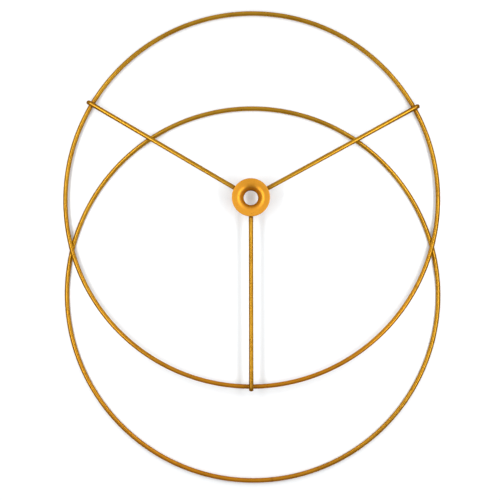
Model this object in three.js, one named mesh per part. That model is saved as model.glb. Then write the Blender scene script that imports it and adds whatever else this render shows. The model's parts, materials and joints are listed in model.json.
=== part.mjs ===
// The two wire rings of a lampshade frame, lying one across the other on a flat surface.
// The bottom ring is a plain hoop that lies flat. The top ring carries a spider: three wire arms that
// rise slightly towards a dished washer, which has a bore for the lamp's finial. The top ring's far side
// (+Y) stands on the surface and the ring bears on the bottom ring where the two circles cross, so it
// is tilted by about a degree. Millimetres, +Z up, origin under the middle of the whole outline.
import * as THREE from "three";

// Rings
const RING_OUTSIDE = 300;
const WIRE = 3.5;
const BOTTOM_RING_OFFSET = { x: 0.72, y: -75.89 }; // its centre, from the top ring's centre
const TOP_OUT_OF_ROUND = { amount: 0.3, longAxis: 64 }; // millimetres on the radius, degrees from +X
const BOTTOM_OUT_OF_ROUND = { amount: 0.31, longAxis: -55 };

// Hub washer: a flat flange that turns down into a round-shouldered dish with a bore
const HUB_OUTSIDE = 30;
const HUB_BORE = 11.4;
const HUB_SHEET = 1.2;
const HUB_SHOULDER = 6.3; // radius of the turned-down shoulder, on its upper side
const HUB_OFFSET = { x: -0.63, y: 0.77 }; // the washer's centre, from the top ring's centre
const HUB_RISE = 3; // how much higher an arm is at the washer than at the ring

// Arms: direction from the washer in degrees from +X, and how far the end curls over the ring
const ARMS = [
  { name: "spider_arm_left", direction: 149.5, curl: 55 },
  { name: "spider_arm_right", direction: 28.8, curl: 55 },
  { name: "spider_arm_front", direction: 270.1, curl: 45 },
];
const ARM_CLEAR_OF_DISH = 0.5; // from the start of the shoulder inwards to the arm's end

// Clearances
const SEAT_GAP = 0.3; // wherever two pieces bear on each other
const SURFACE_GAP = 0.05; // under the top ring's far side

// Facets
const WIRE_SIDES = 12;
const RING_STEPS = 96;
const HUB_STEPS = 64;
const SHOULDER_STEPS = 8;
const EDGE_STEPS = 4;
const ARM_STEPS = 10;
const STRAIGHT_SHARE = 0.4; // share of the steps that the arm's straight stretch takes

const wireRadius = WIRE / 2;
const ringRadius = (RING_OUTSIDE - WIRE) / 2;
const seatHeight = WIRE + SEAT_GAP; // between the middles of two wires, one lying on the other
const hubFlatInner = HUB_BORE / 2 + HUB_SHOULDER;
const hubTop = seatHeight + HUB_RISE + wireRadius + SEAT_GAP + HUB_SHEET;
const armInner = hubFlatInner - ARM_CLEAR_OF_DISH;

// The top ring turns about its far side until it clears the bottom ring at the crossings.
const crossingReach = ringRadius + Math.abs(BOTTOM_RING_OFFSET.y) / 2;
const tilt = Math.asin((seatHeight - SURFACE_GAP) / crossingReach);
const topRingHeight = wireRadius + SURFACE_GAP + ringRadius * Math.sin(tilt);

const wireFinish = new THREE.MeshStandardMaterial({ color: "#c4842c", metalness: 1, roughness: 0.35 });
const hubFinish = new THREE.MeshStandardMaterial({ color: "#dc9c34", metalness: 1, roughness: 0.3 });

function radians(degrees) {
  return THREE.MathUtils.degToRad(degrees);
}

// A many-sided wire section with a flat facing up and one facing down, measured across its flats.
function wireSection() {
  const corner = wireRadius / Math.cos(Math.PI / WIRE_SIDES);
  const points = [];
  for (let i = 0; i < WIRE_SIDES; i++) {
    const angle = ((i + 0.5) * 2 * Math.PI) / WIRE_SIDES;
    points.push(new THREE.Vector2(corner * Math.cos(angle), corner * Math.sin(angle)));
  }
  return points;
}

// The middle of a ring's wire is this far from the ring's centre, in a given direction.
function ringRadiusAt(angle, outOfRound) {
  return ringRadius + outOfRound.amount * Math.cos(2 * (angle - radians(outOfRound.longAxis)));
}

function ringGeometry(outOfRound) {
  const profile = wireSection().map((p) => new THREE.Vector2(ringRadius + p.x, p.y));
  profile.push(profile[0].clone());
  const geometry = new THREE.LatheGeometry(profile, RING_STEPS);
  geometry.rotateX(Math.PI / 2);
  const position = geometry.getAttribute("position");
  for (let i = 0; i < position.count; i++) {
    const angle = Math.atan2(position.getY(i), position.getX(i));
    const round = Math.hypot(position.getX(i), position.getY(i));
    const bent = round + ringRadiusAt(angle, outOfRound) - ringRadius;
    position.setX(i, bent * Math.cos(angle));
    position.setY(i, bent * Math.sin(angle));
  }
  return geometry;
}

// From the washer's axis to the middle of the top ring's wire, along an arm.
function reachToRing(direction) {
  const along = HUB_OFFSET.x * Math.cos(direction) + HUB_OFFSET.y * Math.sin(direction);
  const across = HUB_OFFSET.y * Math.cos(direction) - HUB_OFFSET.x * Math.sin(direction);
  let reach = ringRadius - along;
  for (let i = 0; i < 4; i++) {
    const angle = direction + Math.atan2(across, along + reach);
    reach = Math.sqrt(ringRadiusAt(angle, TOP_OUT_OF_ROUND) ** 2 - across ** 2) - along;
  }
  return reach;
}

// The middle line of an arm: straight from under the washer down to the ring, then curled over the
// ring's wire. X is the distance from the washer's axis and Z the height above the ring's middle.
class ArmLine extends THREE.Curve {
  constructor(reach, curl) {
    super();
    this.reach = reach;
    this.curl = curl;
    this.slope = Math.atan2(HUB_RISE, reach - armInner);
    this.inner = new THREE.Vector3(armInner, 0, seatHeight + HUB_RISE);
  }

  onCurl(angle) {
    const x = this.reach + seatHeight * Math.sin(angle);
    return new THREE.Vector3(x, 0, seatHeight * Math.cos(angle));
  }

  getPoint(t, target = new THREE.Vector3()) {
    if (t < STRAIGHT_SHARE) {
      return target.lerpVectors(this.inner, this.onCurl(this.slope), t / STRAIGHT_SHARE);
    }
    const share = (t - STRAIGHT_SHARE) / (1 - STRAIGHT_SHARE);
    return target.copy(this.onCurl(THREE.MathUtils.lerp(this.slope, this.curl, share)));
  }

  // The steps follow t as it is, so most of them fall on the curl.
  getUtoTmapping(u) {
    return u;
  }
}

function armGeometry(direction, curl) {
  return new THREE.ExtrudeGeometry(new THREE.Shape(wireSection()), {
    steps: ARM_STEPS,
    extrudePath: new ArmLine(reachToRing(direction), curl),
  });
}

function arc(centreX, centreY, radius, fromDegrees, toDegrees, steps) {
  const points = [];
  for (let i = 0; i <= steps; i++) {
    const angle = radians(THREE.MathUtils.lerp(fromDegrees, toDegrees, i / steps));
    points.push(new THREE.Vector2(centreX + radius * Math.cos(angle), centreY + radius * Math.sin(angle)));
  }
  return points;
}

// The washer's height is 0 at the top of its flange.
function hubGeometry() {
  const outside = HUB_OUTSIDE / 2;
  const profile = [
    ...arc(hubFlatInner, -HUB_SHOULDER, HUB_SHOULDER - HUB_SHEET, 90, 180, SHOULDER_STEPS),
    ...arc(hubFlatInner, -HUB_SHOULDER, HUB_SHOULDER, 180, 90, SHOULDER_STEPS),
    ...arc(outside - HUB_SHEET, -HUB_SHEET, HUB_SHEET, 90, 0, EDGE_STEPS),
  ];
  profile.push(profile[0].clone());
  profile.reverse();
  return new THREE.LatheGeometry(profile, HUB_STEPS).rotateX(Math.PI / 2);
}

function named(name, geometry, material) {
  const mesh = new THREE.Mesh(geometry, material);
  mesh.name = name;
  return mesh;
}

// Top ring, arms and washer, in the ring's own level frame
const topRing = new THREE.Group();
topRing.add(named("top_ring", ringGeometry(TOP_OUT_OF_ROUND), wireFinish));
for (const { name, direction, curl } of ARMS) {
  const arm = named(name, armGeometry(radians(direction), radians(curl)), wireFinish);
  arm.position.set(HUB_OFFSET.x, HUB_OFFSET.y, 0);
  arm.rotation.z = radians(direction);
  topRing.add(arm);
}
const hub = named("hub_washer", hubGeometry(), hubFinish);
hub.position.set(HUB_OFFSET.x, HUB_OFFSET.y, hubTop);
topRing.add(hub);
topRing.position.z = topRingHeight;
topRing.rotation.x = -tilt;

const bottomRing = named("bottom_ring", ringGeometry(BOTTOM_OUT_OF_ROUND), wireFinish);
bottomRing.position.set(BOTTOM_RING_OFFSET.x, BOTTOM_RING_OFFSET.y, wireRadius);

// Both rings as they lie, shifted so that the origin is under the middle of their outline
const lying = new THREE.Group();
lying.add(bottomRing, topRing);
const outline = new THREE.Box3().setFromObject(lying, true);
const middle = outline.getCenter(new THREE.Vector3());
lying.position.set(-middle.x, -middle.y, -outline.min.z);

const frame = new THREE.Group();
frame.add(lying);

export default frame;
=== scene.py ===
"""Looks for a lampshade's two gilt wire rings: a plain hoop, and a hoop with a spider and a washer.

Everything is in metres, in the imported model's frame, which gives the pieces their places. Each
piece is swept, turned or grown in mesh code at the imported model's dimensions. The wire is round
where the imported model's has twelve flats, ends and edges are rounded, and the welds are there.
"""

import json
import math

import bmesh
import bpy
import numpy as np
from mathutils import Matrix, Vector


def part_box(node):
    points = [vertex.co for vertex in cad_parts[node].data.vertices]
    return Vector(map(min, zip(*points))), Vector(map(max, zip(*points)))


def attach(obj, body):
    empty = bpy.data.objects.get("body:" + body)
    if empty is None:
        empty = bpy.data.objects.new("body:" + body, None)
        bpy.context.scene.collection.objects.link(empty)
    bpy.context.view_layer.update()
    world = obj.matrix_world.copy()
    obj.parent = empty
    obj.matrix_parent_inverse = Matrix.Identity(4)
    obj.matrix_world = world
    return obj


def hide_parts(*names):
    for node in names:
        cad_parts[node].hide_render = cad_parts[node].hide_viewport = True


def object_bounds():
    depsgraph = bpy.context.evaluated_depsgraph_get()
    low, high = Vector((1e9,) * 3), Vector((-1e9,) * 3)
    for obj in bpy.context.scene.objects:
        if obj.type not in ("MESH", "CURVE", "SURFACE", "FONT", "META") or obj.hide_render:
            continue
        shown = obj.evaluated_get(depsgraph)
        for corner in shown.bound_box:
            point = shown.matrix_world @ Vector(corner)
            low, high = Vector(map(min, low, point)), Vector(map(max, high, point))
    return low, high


MM = 0.001

# The rings' wire, and how far each ring is out of round: on its radius, and the long axis from +X
WIRE_RADIUS = 1.75 * MM
RING_RADIUS = 148.25 * MM
OUT_OF_ROUND = {
    "top_ring": (0.30 * MM, math.radians(64)),
    "bottom_ring": (0.31 * MM, math.radians(-55)),
}

# The butt weld that closes each ring: its direction from the centre, its spread and its height
BUTT_DIRECTION = {"top_ring": math.radians(-28), "bottom_ring": math.radians(-84)}
BUTT_SPREAD = 1.1 * MM
BUTT_PROUD = 0.10 * MM

# The spider's arms: the direction from the washer, and how far the outer end curls over the ring
ARMS = {
    "left": (math.radians(149.5), math.radians(55)),
    "right": (math.radians(28.8), math.radians(55)),
    "front": (math.radians(270.1), math.radians(45)),
}
ARM_INNER = 11.5 * MM  # from the washer's axis to the arm's sheared inner end
ARM_RISE = 3.0 * MM  # how much higher an arm is at the washer than at the ring
SEAT_HEIGHT = 3.8 * MM  # at the ring, from the middle of its wire up to the middle of the arm's
TIP_ROUNDING = 1.2 * MM  # of an arm's outer end
SHEARED_EDGE = 0.25 * MM  # rounding of an arm's inner end

# The washer's section: a flange that turns down over a round shoulder to the bore
WASHER_OUTSIDE = 15.0 * MM
WASHER_BORE = 5.7 * MM
WASHER_SHEET = 1.2 * MM
WASHER_SHOULDER = 6.3 * MM
WASHER_FLAT_INNER = WASHER_BORE + WASHER_SHOULDER
WASHER_BURR = 0.25 * MM  # rounding of the washer's cut edges
WASHER_ROLL = (1.3 * MM, 0.15 * MM)  # how far in and down the outer edge rolls over, on top
SHOULDER_END = 177  # degrees: just short of upright, where the rounding of the bore's edge is

# Welds
WELD_REACH = 3.4 * MM  # how far a weld's metal reaches from the middle of the joint
WELD_BLEND = 1.5 * MM  # the size of the fillet between the two joined surfaces
WELD_SINK = 0.02 * MM  # how far a weld's own skin lies under the surfaces that it joins
HUB_WELD_MIDDLE = 13.6 * MM  # from the washer's axis to the middle of a weld under the flange
HUB_WELD_DROP = 0.15 * MM  # from the flange's underside down to there
HUB_WELD_REACH = 2.4 * MM

# Painted shade and real marks in the plating, all in one brown, from 0 to 1
# By the welds: painted shade of the creases, with a little weld tint
WELD_OWN_TINT_AND_SHADE = 0.35  # on a weld's own skin
WELD_TINT_AND_SHADE = 0.6  # beside a weld
WELD_SHADE_REACH = 6.0 * MM
BUTT_STAIN = 0.5
# Painted shade on the arms' outer ends, which curl down away from the lights
TIP_PAINTED_SHADE = 0.75  # on the arms' outer ends
TIP_SHADE_BEFORE = 0.2  # how far it starts before the ring's middle, as a share of the wire
# Painted shade in the washer's throat and at its turned-down outer rim
THROAT_PAINTED_SHADE = (0.35, 0.45, 0.20)  # all round, more at the washer's +Y and -Y sides, more at +Y
THROAT_SHADE_RISE = 1.6  # over the shoulder's depth
THROAT_SHADE_START = 0.2
RIM_PAINTED_SHADE = 0.4  # at the washer's outer rim
RIM_WIDTH = 0.5 * MM

# Each ring's gold turns darker and more orange towards one side
DEEP_GOLD_DIRECTION = {"top_ring": math.radians(275), "bottom_ring": math.radians(255)}
DEEP_GOLD_FOCUS = 5  # a higher power keeps it closer to that side

# Plating: a lighter and a darker gold for each kind of piece
WIRE_GOLDS = ((0.42, 0.220, 0.020, 1), (0.34, 0.164, 0.012, 1))
WASHER_GOLDS = ((0.69, 0.305, 0.030, 1), (0.61, 0.260, 0.022, 1))
WELD_GOLDS = ((0.36, 0.170, 0.016, 1), (0.27, 0.115, 0.010, 1))
DEEP_GOLDS = ((0.47, 0.185, 0.012, 1), (0.38, 0.140, 0.008, 1))  # where the gold is darker and more orange
# One brown for real pits and butt welds, and for painted shade by the welds, on the arms' ends and
# in the washer's throat and rim
STAIN_AND_SHADE = (0.20, 0.070, 0.008, 1)
EDGE_TINT = (0.40, 0.21, 0.05, 1)
WIRE_ROUGHNESS = 0.25
WASHER_ROUGHNESS = 0.38
WELD_ROUGHNESS = 0.34

# Noise in the plating: scale, detail and roughness, and the values that become 0 and 1
DRIFT = (55, 3, 0.55, 0.38, 0.62)
MOTTLE = (900, 3, 0.6, 0.35, 0.65)
PITS = (1700, 2, 0.5, 0.66, 0.72)
DRIFT_SHARE = 0.65  # of the change from dark to light, and mottle has the rest
DRIFT_DULL = 0.06  # added roughness
PIT_DULL = 0.2
PIT_STAIN = 0.5
GRAIN = (2600, 3, 0.6)
GRAIN_BUMP = (0.25, 0.03 * MM)  # strength and depth
LINES = (1.0, 3, 0.6)
LINES_SCALE = (25, 1400, 1400)  # along the wire and across it
LINES_BUMP = (0.3, 0.04 * MM)

# Meshes
WIRE_SIDES = 32
RING_STEPS = 720
ARM_STEP = 1.0 * MM
WASHER_STEPS = 192
CURVE_STEPS = 20
WELD_SUBDIVISIONS = 6
WELD_HALVINGS = 22  # of the range in which a weld's surface lies
REACH_PASSES = 4  # until the arm's reach to the out-of-round ring settles

# Floor: a pale board, a hair below the rings
FLOOR_SIZE = 6.0
FLOOR_STEPS = 24
FLOOR_GAP = 0.05 * MM
FLOOR_COLOURS = ((0.83, 0.850, 0.868, 1), (0.845, 0.864, 0.880, 1))
FLOOR_CLOUDS = (3, 2, 0.5, 0.3, 0.7)  # noise, as in the plating
FLOOR_ROUGHNESS = 0.9
FLOOR_SPECULAR = 0.1

# Two long strip lights: how far aside, how high, how wide, and their power
STRIPS = {
    "lamp_left": (-0.209, 0.270, 0.065, 0.66),
    "lamp_right": (0.209, 0.270, 0.065, 0.68),
}
STRIP_FORWARD = 0.03
STRIP_LENGTH = 0.45
STRIP_AIM = 0.5  # 0 aims a strip at the middle of the floor, 1 straight down

# The room's walls, and how much brighter it is towards its far side (+Y) and overhead
ROOM_COLOUR = (1, 1, 1, 1)
ROOM_STRENGTH = 0.48
ROOM_FAR = 0.65
ROOM_OVERHEAD = 0.45
ROOM_OVERHEAD_FOCUS = 4.0

# The camera looks straight down, with +Y up in the picture
CAMERA_PLACE = (-1.742 * MM, -2.433 * MM, 695.9 * MM)
SENSOR_WIDTH = 36.0
LENS = 62.62  # in millimetres, as is the sensor
NEAREST, FURTHEST = 0.01, 20.0


def lerp(a, b, t):
    return a + (b - a) * t


# ------------------------------------------------------------------------------------------- frame

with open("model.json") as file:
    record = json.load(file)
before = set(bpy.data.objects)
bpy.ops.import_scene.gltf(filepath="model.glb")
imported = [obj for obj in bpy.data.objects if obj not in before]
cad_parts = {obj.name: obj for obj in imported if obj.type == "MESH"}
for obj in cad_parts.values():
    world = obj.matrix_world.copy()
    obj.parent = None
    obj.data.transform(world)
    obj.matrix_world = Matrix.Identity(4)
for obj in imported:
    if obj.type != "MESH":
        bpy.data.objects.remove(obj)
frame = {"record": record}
cad_bounds = [list(corner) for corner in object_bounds()]
mounts = {mount["name"]: mount for mount in frame["record"]["mounts"]}


def middle(node):
    low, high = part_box(node)
    return (low + high) / 2


def level_frame(origin, normal):
    """The placement of a ring's own frame: the origin at its centre, Z along its axis, X level."""
    up = Vector(normal).normalized()
    across = Vector((0, 1, 0)).cross(up).normalized()
    forward = up.cross(across)
    turn = Matrix((across, forward, up)).transposed()
    return Matrix.Translation(origin) @ turn.to_4x4()


flange = mounts["washer_flange_top"]
top_frame = level_frame(middle("top_ring"), flange["axis"])
bottom_frame = Matrix.Translation(middle("bottom_ring"))

# The middle of the washer's flange top, in the top ring's frame. The washer's box gives it along
# the ring's level axis, and the mount on the flange gives the rest.
washer_middle = Vector((middle("hub_washer").x, flange["pos_m"][1], flange["pos_m"][2]))
washer_local = top_frame.inverted() @ washer_middle
washer_foot = np.array([washer_local.x, washer_local.y, 0])  # its axis at the ring's middle height


# ------------------------------------------------------------------------------------------ meshes


def new_object(name, vertices, faces, placement):
    mesh = bpy.data.meshes.new(name)
    mesh.from_pydata([tuple(v) for v in vertices], [], [tuple(f) for f in faces])
    mesh.transform(placement)
    mesh.update()
    mesh.polygons.foreach_set("use_smooth", [True] * len(mesh.polygons))
    piece = bpy.data.objects.new(name, mesh)
    bpy.context.scene.collection.objects.link(piece)
    return piece


def paint(piece, name, values):
    """A value for each vertex, which the material reads."""
    attribute = piece.data.attributes.new(name, "FLOAT", "POINT")
    attribute.data.foreach_set("value", np.asarray(values, np.float32))


def tube(name, points, normals, binormals, radii, along, closed, placement):
    """A round wire through points. normals and binormals span its section at each point, and along
    is each point's distance from the wire's start. The attribute "straight" says where each corner
    of a face was on the wire before it was bent."""
    count = len(points)
    angles = np.arange(WIRE_SIDES) * 2 * math.pi / WIRE_SIDES
    cos, sin = np.cos(angles), np.sin(angles)
    spokes = (
        normals[:, None, :] * cos[None, :, None] + binormals[:, None, :] * sin[None, :, None]
    )
    vertices = (points[:, None, :] + radii[:, None, None] * spokes).reshape(-1, 3)
    if closed:
        # A ring's butt weld is dressed flush underneath
        vertices[:, 2] = np.maximum(vertices[:, 2], -WIRE_RADIUS)
    faces, straight = [], []
    for i in range(count if closed else count - 1):
        j = (i + 1) % count
        ends = (along[i], along[j] if j > i else along[-1] + along[1])
        here, there = i * WIRE_SIDES, j * WIRE_SIDES
        for k in range(WIRE_SIDES):
            m = (k + 1) % WIRE_SIDES
            faces.append((here + k, there + k, there + m, here + m))
            for end, side in ((0, k), (1, k), (1, m), (0, m)):
                straight += [ends[end], WIRE_RADIUS * cos[side], WIRE_RADIUS * sin[side]]
    if not closed:
        for i, order in ((0, 1), (count - 1, -1)):
            faces.append([i * WIRE_SIDES + k for k in range(WIRE_SIDES)][::order])
            for k in range(WIRE_SIDES)[::order]:
                share = radii[i] / WIRE_RADIUS
                straight += [along[i], radii[i] * cos[k] * share, radii[i] * sin[k] * share]
    piece = new_object(name, vertices, faces, placement)
    attribute = piece.data.attributes.new("straight", "FLOAT_VECTOR", "CORNER")
    attribute.data.foreach_set("vector", np.asarray(straight, np.float32))
    fix_normals(piece)
    return piece


def bearing(direction):
    """The level unit vector in a direction from +X."""
    return np.array([math.cos(direction), math.sin(direction), 0])


def fix_normals(piece):
    mesh = bmesh.new()
    mesh.from_mesh(piece.data)
    bmesh.ops.recalc_face_normals(mesh, faces=mesh.faces)
    mesh.to_mesh(piece.data)
    mesh.free()


def ring_radius_at(angle, node):
    amount, long_axis = OUT_OF_ROUND[node]
    return RING_RADIUS + amount * np.cos(2 * (angle - long_axis))


def ring(node, placement):
    """A ring's wire, and how much of the butt weld there is at each step round it, from 0 to 1."""
    start = BUTT_DIRECTION[node]
    angles = start + np.arange(RING_STEPS) * 2 * math.pi / RING_STEPS
    outward = np.stack([np.cos(angles), np.sin(angles), np.zeros(RING_STEPS)], axis=1)
    points = outward * ring_radius_at(angles, node)[:, None]
    up = np.tile([0.0, 0.0, 1.0], (RING_STEPS, 1))
    along = RING_RADIUS * (angles - start)
    from_butt = np.minimum(along, 2 * math.pi * RING_RADIUS - along)
    butt = np.exp(-((from_butt / BUTT_SPREAD) ** 2))
    radii = WIRE_RADIUS + BUTT_PROUD * butt
    piece = tube("wire_" + node, points, outward, up, radii, along, True, placement)
    return piece, butt


# ------------------------------------------------------------------------------------- spider arms


def reach_to_ring(direction):
    """From the washer's axis to the middle of the top ring's wire, along an arm."""
    along = washer_local.x * math.cos(direction) + washer_local.y * math.sin(direction)
    across = washer_local.y * math.cos(direction) - washer_local.x * math.sin(direction)
    reach = RING_RADIUS - along
    for _ in range(REACH_PASSES):
        angle = direction + math.atan2(across, along + reach)
        reach = math.sqrt(ring_radius_at(angle, "top_ring") ** 2 - across**2) - along
    return reach


def arm_line(direction, curl):
    """The arm's middle line in its own upright plane: distances from the washer's axis and heights
    above the ring's middle, and the angle at which the wire falls at each."""
    reach = reach_to_ring(direction)
    slope = math.atan2(ARM_RISE, reach - ARM_INNER)
    start = np.array([ARM_INNER, SEAT_HEIGHT + ARM_RISE])

    def over_ring(angle):
        return np.array([reach + SEAT_HEIGHT * math.sin(angle), SEAT_HEIGHT * math.cos(angle)])

    touch = over_ring(slope)
    steps = int(np.linalg.norm(touch - start) / ARM_STEP)
    straight = [lerp(start, touch, i / steps) for i in range(steps)]
    turns = [lerp(slope, curl, i / CURVE_STEPS) for i in range(CURVE_STEPS + 1)]
    line = np.array(straight + [over_ring(turn) for turn in turns])
    falls = np.array([slope] * steps + turns)
    return line, falls


def end_profile(distance, rounding):
    """The wire's radius at a distance from its very end, where the end is rounded."""
    inside = np.clip(1 - distance / rounding, 0, 1)
    return WIRE_RADIUS - rounding * (1 - np.sqrt(1 - inside**2))


def arm(side_name):
    direction, curl = ARMS[side_name]
    line, falls = arm_line(direction, curl)
    step = np.linalg.norm(np.diff(line, axis=0), axis=1)
    along = np.concatenate([[0], np.cumsum(step)])
    # The line is sampled again, with stations close together at the rounded ends
    ease = 0.5 - 0.5 * np.cos(np.linspace(0, math.pi / 2, CURVE_STEPS))
    ease = ease / ease.max()
    near_start = SHEARED_EDGE * ease
    near_end = along[-1] - TIP_ROUNDING * ease[::-1]
    between = along[(along > 2 * SHEARED_EDGE) & (along < along[-1] - 1.2 * TIP_ROUNDING)]
    stations = np.concatenate([near_start, between, near_end])
    x = np.interp(stations, along, line[:, 0])
    z = np.interp(stations, along, line[:, 1])
    fall = np.interp(stations, along, falls)
    out = bearing(direction)
    side = np.array([-math.sin(direction), math.cos(direction), 0])
    up = np.array([0, 0, 1.0])
    points = washer_foot + x[:, None] * out + z[:, None] * up
    normals = np.sin(fall)[:, None] * out + np.cos(fall)[:, None] * up
    binormals = np.tile(side, (len(stations), 1))
    radii = np.minimum(
        end_profile(stations, SHEARED_EDGE),
        end_profile(along[-1] - stations, TIP_ROUNDING),
    )
    name = "wire_spider_arm_" + side_name
    return tube(name, points, normals, binormals, radii, stations, False, top_frame)


# ------------------------------------------------------------------------------------------ washer


def arc(centre, radius, start, end):
    angles = np.radians(np.linspace(start, end, CURVE_STEPS + 1))
    x = centre[0] + radius * np.cos(angles)
    y = centre[1] + radius * np.sin(angles)
    return np.stack([x, y], axis=1)


def washer_section():
    """The section from the axis outwards, with its height 0 at the top of the flange."""
    shoulder = (WASHER_FLAT_INNER, -WASHER_SHOULDER)
    under = WASHER_SHOULDER - WASHER_SHEET
    low = -WASHER_SHOULDER
    burr = WASHER_BURR
    roll = np.array(WASHER_ROLL)
    rim_inner = (WASHER_BORE + burr, low + burr)
    rim_outer = (WASHER_BORE + WASHER_SHEET - burr, low + burr)
    pieces = [
        arc(shoulder, under, SHOULDER_END, 90),
        arc((WASHER_OUTSIDE - burr, -WASHER_SHEET + burr), burr, -90, 0),
        arc((0, 0), 1, 0, 90) * roll + (WASHER_OUTSIDE - roll[0], -roll[1]),
        arc(shoulder, WASHER_SHOULDER, 90, SHOULDER_END),
        arc(rim_inner, burr, 180, 270),
        arc(rim_outer, burr, 270, 360),
    ]
    return np.concatenate(pieces)


def washer():
    section = washer_section()
    count = len(section)
    angles = np.arange(WASHER_STEPS) * 2 * math.pi / WASHER_STEPS
    vertices = [(r * math.cos(a), r * math.sin(a), z) for a in angles for r, z in section]
    faces = []
    for i in range(WASHER_STEPS):
        j = (i + 1) % WASHER_STEPS
        for k in range(count):
            m = (k + 1) % count
            faces.append((i * count + k, j * count + k, j * count + m, i * count + m))
    placement = top_frame @ Matrix.Translation(washer_local)
    piece = new_object("pressed_hub_washer", vertices, faces, placement)
    fix_normals(piece)
    return piece


# ------------------------------------------------------------------------------------------- welds


def smooth_union(a, b, size):
    """The distance to two solids joined by a fillet, from the distance to each. size says how far
    apart the two distances may be for the fillet still to reach there."""
    share = np.clip(0.5 + 0.5 * (b - a) / size, 0, 1)
    return b + (a - b) * share - size * share * (1 - share)


def distance_to_ring(p):
    angle = np.arctan2(p[:, 1], p[:, 0])
    flat = np.hypot(p[:, 0], p[:, 1]) - ring_radius_at(angle, "top_ring")
    return np.hypot(flat, p[:, 2]) - WIRE_RADIUS


def distance_to_arm(p, direction, curl):
    line, _ = arm_line(direction, curl)
    relative = p - washer_foot
    out = relative[:, 0] * math.cos(direction) + relative[:, 1] * math.sin(direction)
    side = relative[:, 1] * math.cos(direction) - relative[:, 0] * math.sin(direction)
    flat = np.stack([out, relative[:, 2]], axis=1)
    nearest = np.full(len(p), np.inf)
    for a, b in zip(line[:-1], line[1:]):
        run = b - a
        share = np.clip(((flat - a) @ run) / (run @ run), 0, 1)
        off = flat - a - share[:, None] * run
        nearest = np.minimum(nearest, np.hypot(off[:, 0], off[:, 1]))
    return np.hypot(nearest, side) - WIRE_RADIUS


def distance_to_flange(p):
    """The distance to the lower half of the washer's flange."""
    flat = np.hypot(p[:, 0] - washer_local.x, p[:, 1] - washer_local.y) - WASHER_OUTSIDE
    half = WASHER_SHEET / 4
    high = np.abs(p[:, 2] - (washer_local.z - WASHER_SHEET + half)) - half
    outside = np.hypot(np.maximum(flat, 0), np.maximum(high, 0))
    return outside + np.minimum(np.maximum(flat, high), 0)


def weld(name, centre, other, side, reach):
    """The metal of the weld between an arm and another surface, grown from the middle of the joint
    as far as the fillet between them goes. other gives the distance to the other surface."""
    direction, curl = ARMS[side]
    ball = bmesh.new()
    bmesh.ops.create_icosphere(ball, subdivisions=WELD_SUBDIVISIONS, radius=1.0)
    rays = np.array([v.co for v in ball.verts])
    faces = [[v.index for v in f.verts] for f in ball.faces]
    ball.free()
    inner, outer = np.zeros(len(rays)), np.full(len(rays), reach)
    for _ in range(WELD_HALVINGS):
        tried = (inner + outer) / 2
        at = centre + rays * tried[:, None]
        joined = smooth_union(other(at), distance_to_arm(at, direction, curl), WELD_BLEND)
        inside = joined < -WELD_SINK
        inner = np.where(inside, tried, inner)
        outer = np.where(inside, outer, tried)
    return new_object(name, centre + rays * inner[:, None], faces, top_frame)


def seat_weld(side):
    """Where an arm sits on the ring."""
    direction, _ = ARMS[side]
    reach = reach_to_ring(direction)
    centre = washer_foot + reach * bearing(direction) + np.array([0, 0, SEAT_HEIGHT / 2])
    return weld("weld_seat_" + side, centre, distance_to_ring, side, WELD_REACH)


def hub_weld(side):
    """Where an arm is welded to the underside of the washer's flange."""
    direction, _ = ARMS[side]
    height = washer_local.z - WASHER_SHEET - HUB_WELD_DROP
    centre = washer_foot + HUB_WELD_MIDDLE * bearing(direction) + np.array([0, 0, height])
    return weld("weld_hub_" + side, centre, distance_to_flange, side, HUB_WELD_REACH)


# ---------------------------------------------------------------------------------------- material


class Nodes:
    """A short way to write a material's nodes."""

    def __init__(self, name):
        self.material = bpy.data.materials.new(name)
        self.material.use_nodes = True
        self.tree = self.material.node_tree
        self.shader = self.tree.nodes["Principled BSDF"]

    def node(self, kind, **values):
        made = self.tree.nodes.new(kind)
        for key, value in values.items():
            setattr(made, key, value)
        return made

    def feed(self, socket, value):
        if isinstance(value, bpy.types.NodeSocket):
            self.tree.links.new(value, socket)
        else:
            socket.default_value = value

    def attribute(self, name, output="Fac"):
        return self.node("ShaderNodeAttribute", attribute_name=name).outputs[output]

    def place(self):
        return self.node("ShaderNodeTexCoord").outputs["Object"]

    def scaled(self, vector, scale):
        made = self.node("ShaderNodeMapping")
        self.feed(made.inputs["Vector"], vector)
        made.inputs["Scale"].default_value = scale
        return made.outputs["Vector"]

    def noise(self, vector, scale, detail, roughness):
        made = self.node("ShaderNodeTexNoise")
        self.feed(made.inputs["Vector"], vector)
        made.inputs["Scale"].default_value = scale
        made.inputs["Detail"].default_value = detail
        made.inputs["Roughness"].default_value = roughness
        return made.outputs["Fac"]

    def patches(self, vector, scale, detail, roughness, low, high):
        """Noise with its values from low to high stretched over 0 to 1."""
        made = self.node("ShaderNodeMapRange")
        value = self.noise(vector, scale, detail, roughness)
        for socket, given in zip(made.inputs, (value, low, high, 0, 1)):
            self.feed(socket, given)
        return made.outputs["Result"]

    def math(self, operation, a, b):
        made = self.node("ShaderNodeMath", operation=operation)
        self.feed(made.inputs[0], a)
        self.feed(made.inputs[1], b)
        return made.outputs["Value"]

    def mix(self, share, a, b):
        made = self.node("ShaderNodeMix", data_type="RGBA")
        colours = [socket for socket in made.inputs if socket.type == "RGBA"]
        self.feed(made.inputs["Factor"], share)
        self.feed(colours[0], a)
        self.feed(colours[1], b)
        return next(socket for socket in made.outputs if socket.type == "RGBA")

    def bump(self, height, strength, distance, normal=None):
        made = self.node("ShaderNodeBump")
        made.inputs["Strength"].default_value = strength
        made.inputs["Distance"].default_value = distance
        self.feed(made.inputs["Height"], height)
        if normal is not None:
            self.feed(made.inputs["Normal"], normal)
        return made.outputs["Normal"]


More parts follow.
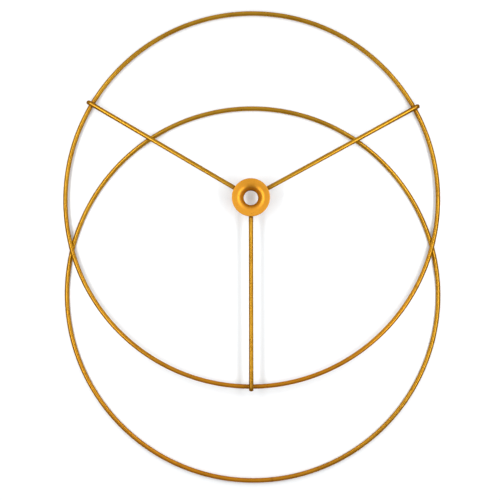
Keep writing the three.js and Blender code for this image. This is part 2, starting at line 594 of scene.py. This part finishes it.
def gilt(name, golds, roughness, drawn):
    """Gilt plating: slow drifts between a lighter and a darker gold, fine mottling, small dull
    pits, a brown by the attribute "weld" that carries weld tint, butt welds and painted shade, a
    darker and more orange gold towards one side of a ring, and, on drawn wire, fine lines along it
    from the die."""
    n = Nodes(name)
    light, dark = golds
    deep_light, deep_dark = DEEP_GOLDS
    place = n.place()
    drift = n.patches(place, *DRIFT)
    mottle = n.patches(place, *MOTTLE)
    pits = n.patches(place, *PITS)

    drift_part = n.math("MULTIPLY", drift, DRIFT_SHARE)
    blend = n.math("ADD", drift_part, n.math("MULTIPLY", mottle, 1 - DRIFT_SHARE))
    gold = n.mix(blend, dark, light)
    # A darker, more orange gold towards one side of each ring
    gold = n.mix(n.attribute("deep_gold"), gold, n.mix(blend, deep_dark, deep_light))
    gold = n.mix(n.math("MULTIPLY", pits, PIT_STAIN), gold, STAIN_AND_SHADE)
    # Brown by the attribute "weld": weld tint and butt welds, and painted shade by the welds, on
    # the arms' ends and in the washer's throat and rim
    gold = n.mix(n.attribute("weld"), gold, STAIN_AND_SHADE)
    n.feed(n.shader.inputs["Base Color"], gold)
    n.shader.inputs["Metallic"].default_value = 1.0
    n.shader.inputs["Specular Tint"].default_value = EDGE_TINT

    drift_dull = n.math("MULTIPLY", drift, DRIFT_DULL)
    dull = n.math("ADD", drift_dull, n.math("MULTIPLY", pits, PIT_DULL))
    n.feed(n.shader.inputs["Roughness"], n.math("ADD", dull, roughness))

    surface = n.bump(n.noise(place, *GRAIN), *GRAIN_BUMP)
    if drawn:
        lines = n.noise(n.scaled(n.attribute("straight", "Vector"), LINES_SCALE), *LINES)
        surface = n.bump(lines, *LINES_BUMP, surface)
    n.feed(n.shader.inputs["Normal"], surface)
    return n.material


wire_gilt = gilt("wire_gilt", WIRE_GOLDS, WIRE_ROUGHNESS, drawn=True)
washer_gilt = gilt("washer_gilt", WASHER_GOLDS, WASHER_ROUGHNESS, drawn=False)
weld_gilt = gilt("weld_gilt", WELD_GOLDS, WELD_ROUGHNESS, drawn=False)


# ------------------------------------------------------------------------------------------ pieces


def dress(piece, material, body):
    piece.data.materials.clear()
    piece.data.materials.append(material)
    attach(piece, body)


def vertices_of(piece):
    co = np.zeros(len(piece.data.vertices) * 3)
    piece.data.vertices.foreach_get("co", co)
    return co.reshape(-1, 3)


def in_top_frame(piece):
    return (vertices_of(piece) - np.array(top_frame.translation)) @ np.array(top_frame.to_3x3())


welds = [seat_weld(side) for side in ARMS] + [hub_weld(side) for side in ARMS]
weld_middles = [in_top_frame(piece).mean(axis=0) for piece in welds]


def weld_tint_and_shade(piece, butt=0.0):
    """Painted shade of the creases by the nearest weld, with a little weld tint, and the butt
    weld's own mark.
    """
    local = in_top_frame(piece)
    nearest = np.min([np.linalg.norm(local - m, axis=1) for m in weld_middles], axis=0)
    near = np.exp(-((nearest / WELD_SHADE_REACH) ** 2))
    return np.clip(WELD_TINT_AND_SHADE * near + BUTT_STAIN * butt, 0, 1)


def tip_painted_shade(piece):
    """Painted shade on the arms' outer ends, which curl down away from the lights."""
    local = in_top_frame(piece)
    beyond = np.hypot(local[:, 0], local[:, 1]) - RING_RADIUS
    return TIP_PAINTED_SHADE * np.clip(beyond / (2 * WIRE_RADIUS) + TIP_SHADE_BEFORE, 0, 1)


def washer_painted_shade(piece):
    """Painted shade down in the washer's throat, most at its +Y side, and a little at its outer
    rim.
    """
    local = in_top_frame(piece)
    depth = washer_local.z - local[:, 2]
    angle = np.arctan2(local[:, 1] - washer_local.y, local[:, 0] - washer_local.x)
    even, two_sided, one_sided = THROAT_PAINTED_SHADE
    strength = even + two_sided * np.sin(angle) ** 2 + one_sided * np.sin(angle)
    deep = np.clip(THROAT_SHADE_RISE * depth / WASHER_SHOULDER - THROAT_SHADE_START, 0, 1)
    from_axis = np.hypot(local[:, 0] - washer_local.x, local[:, 1] - washer_local.y)
    rim = RIM_PAINTED_SHADE * np.clip((from_axis - WASHER_OUTSIDE) / RIM_WIDTH + 1, 0, 1)
    return np.maximum(strength * deep, rim)


def deep_gold(piece, node):
    """How far a ring's gold turns darker and more orange towards one side, from 0 to 1."""
    away = vertices_of(piece) - np.array(middle(node))
    angle = np.arctan2(away[:, 1], away[:, 0]) - DEEP_GOLD_DIRECTION[node]
    return (0.5 + 0.5 * np.cos(angle)) ** DEEP_GOLD_FOCUS


for node, body, placement in (
    ("bottom_ring", "bottom", bottom_frame),
    ("top_ring", "top", top_frame),
):
    piece, butt = ring(node, placement)
    butt = np.repeat(butt, WIRE_SIDES)
    # A darker, more orange gold towards one side of the ring
    paint(piece, "deep_gold", deep_gold(piece, node))
    # Painted shade of the creases by the welds with a little weld tint, and the butt weld's own
    # mark
    paint(piece, "weld", weld_tint_and_shade(piece, butt) if body == "top" else BUTT_STAIN * butt)
    dress(piece, wire_gilt, body)
    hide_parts(node)

for side in ARMS:
    piece = arm(side)
    # Painted shade of the creases by the welds with a little weld tint, and painted shade on the
    # outer ends
    paint(piece, "weld", np.maximum(weld_tint_and_shade(piece), tip_painted_shade(piece)))
    dress(piece, wire_gilt, "top")
    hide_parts("spider_arm_" + side)

piece = washer()
# Painted shade in the washer's throat and at its rim
paint(piece, "weld", washer_painted_shade(piece))
dress(piece, washer_gilt, "top")
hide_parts("hub_washer")

for piece in welds:
    # The welds' own skin: painted shade of the creases, with a little weld tint
    paint(piece, "weld", np.full(len(piece.data.vertices), WELD_OWN_TINT_AND_SHADE))
    dress(piece, weld_gilt, "top")


# ------------------------------------------------------------------------------------------- stage


def floor_material():
    n = Nodes("white_board")
    clouds = n.patches(n.place(), *FLOOR_CLOUDS)
    n.feed(n.shader.inputs["Base Color"], n.mix(clouds, *FLOOR_COLOURS))
    n.shader.inputs["Roughness"].default_value = FLOOR_ROUGHNESS
    n.shader.inputs["Specular IOR Level"].default_value = FLOOR_SPECULAR
    return n.material


def floor():
    ticks = np.linspace(-FLOOR_SIZE / 2, FLOOR_SIZE / 2, FLOOR_STEPS + 1)
    vertices = [(x, y, 0) for y in ticks for x in ticks]
    row = FLOOR_STEPS + 1
    faces = [
        (j * row + i, j * row + i + 1, (j + 1) * row + i + 1, (j + 1) * row + i)
        for j in range(FLOOR_STEPS)
        for i in range(FLOOR_STEPS)
    ]
    height = cad_bounds[0][2] - FLOOR_GAP
    piece = new_object("floor", vertices, faces, Matrix.Translation((0, 0, height)))
    piece.data.materials.append(floor_material())


def area_light(name, position, target, size, power):
    """A rectangular light that points at target. size is its length, along Y, and its width."""
    light = bpy.data.lights.new(name, "AREA")
    light.shape = "RECTANGLE"
    light.size, light.size_y = size
    light.energy = power
    lamp = bpy.data.objects.new(name, light)
    lamp.location = position
    back = (Vector(position) - Vector(target)).normalized()
    along = Vector((0, 1, 0)) if abs(back.x) > abs(back.y) else Vector((1, 0, 0))
    along = (along - along.dot(back) * back).normalized()
    lamp.rotation_euler = Matrix((along, back.cross(along), back)).transposed().to_euler()
    lamp.visible_camera = False
    bpy.context.scene.collection.objects.link(lamp)


floor()

for name, (aside, height, width, power) in STRIPS.items():
    area_light(
        name,
        (aside, STRIP_FORWARD, height),
        (STRIP_AIM * aside, STRIP_FORWARD, 0),
        (STRIP_LENGTH, width),
        power,
    )


def room():
    """A world of white walls, brighter towards +Y and overhead."""
    world = bpy.data.worlds.new("room")
    world.use_nodes = True
    nodes, links = world.node_tree.nodes, world.node_tree.links

    def calculate(operation, *values):
        made = nodes.new("ShaderNodeMath")
        made.operation = operation
        for socket, value in zip(made.inputs, values):
            if isinstance(value, bpy.types.NodeSocket):
                links.new(value, socket)
            else:
                socket.default_value = value
        return made.outputs["Value"]

    split = nodes.new("ShaderNodeSeparateXYZ")
    links.new(nodes.new("ShaderNodeTexCoord").outputs["Generated"], split.inputs["Vector"])
    far = calculate("MAXIMUM", split.outputs["Y"], 0.0)
    above = calculate("MAXIMUM", split.outputs["Z"], 0.0)
    overhead = calculate("POWER", above, ROOM_OVERHEAD_FOCUS)
    walls = calculate("MULTIPLY_ADD", far, ROOM_FAR, ROOM_STRENGTH)
    total = calculate("MULTIPLY_ADD", overhead, ROOM_OVERHEAD, walls)
    links.new(total, nodes["Background"].inputs["Strength"])
    nodes["Background"].inputs["Color"].default_value = ROOM_COLOUR
    return world


bpy.context.scene.world = room()
bpy.context.scene.view_settings.view_transform = "Standard"

camera_data = bpy.data.cameras.new("camera")
camera_data.sensor_width = SENSOR_WIDTH
camera_data.lens = LENS
camera_data.clip_start = NEAREST
camera_data.clip_end = FURTHEST
camera = bpy.data.objects.new("camera", camera_data)
camera.location = CAMERA_PLACE
bpy.context.scene.collection.objects.link(camera)
bpy.context.scene.camera = camera
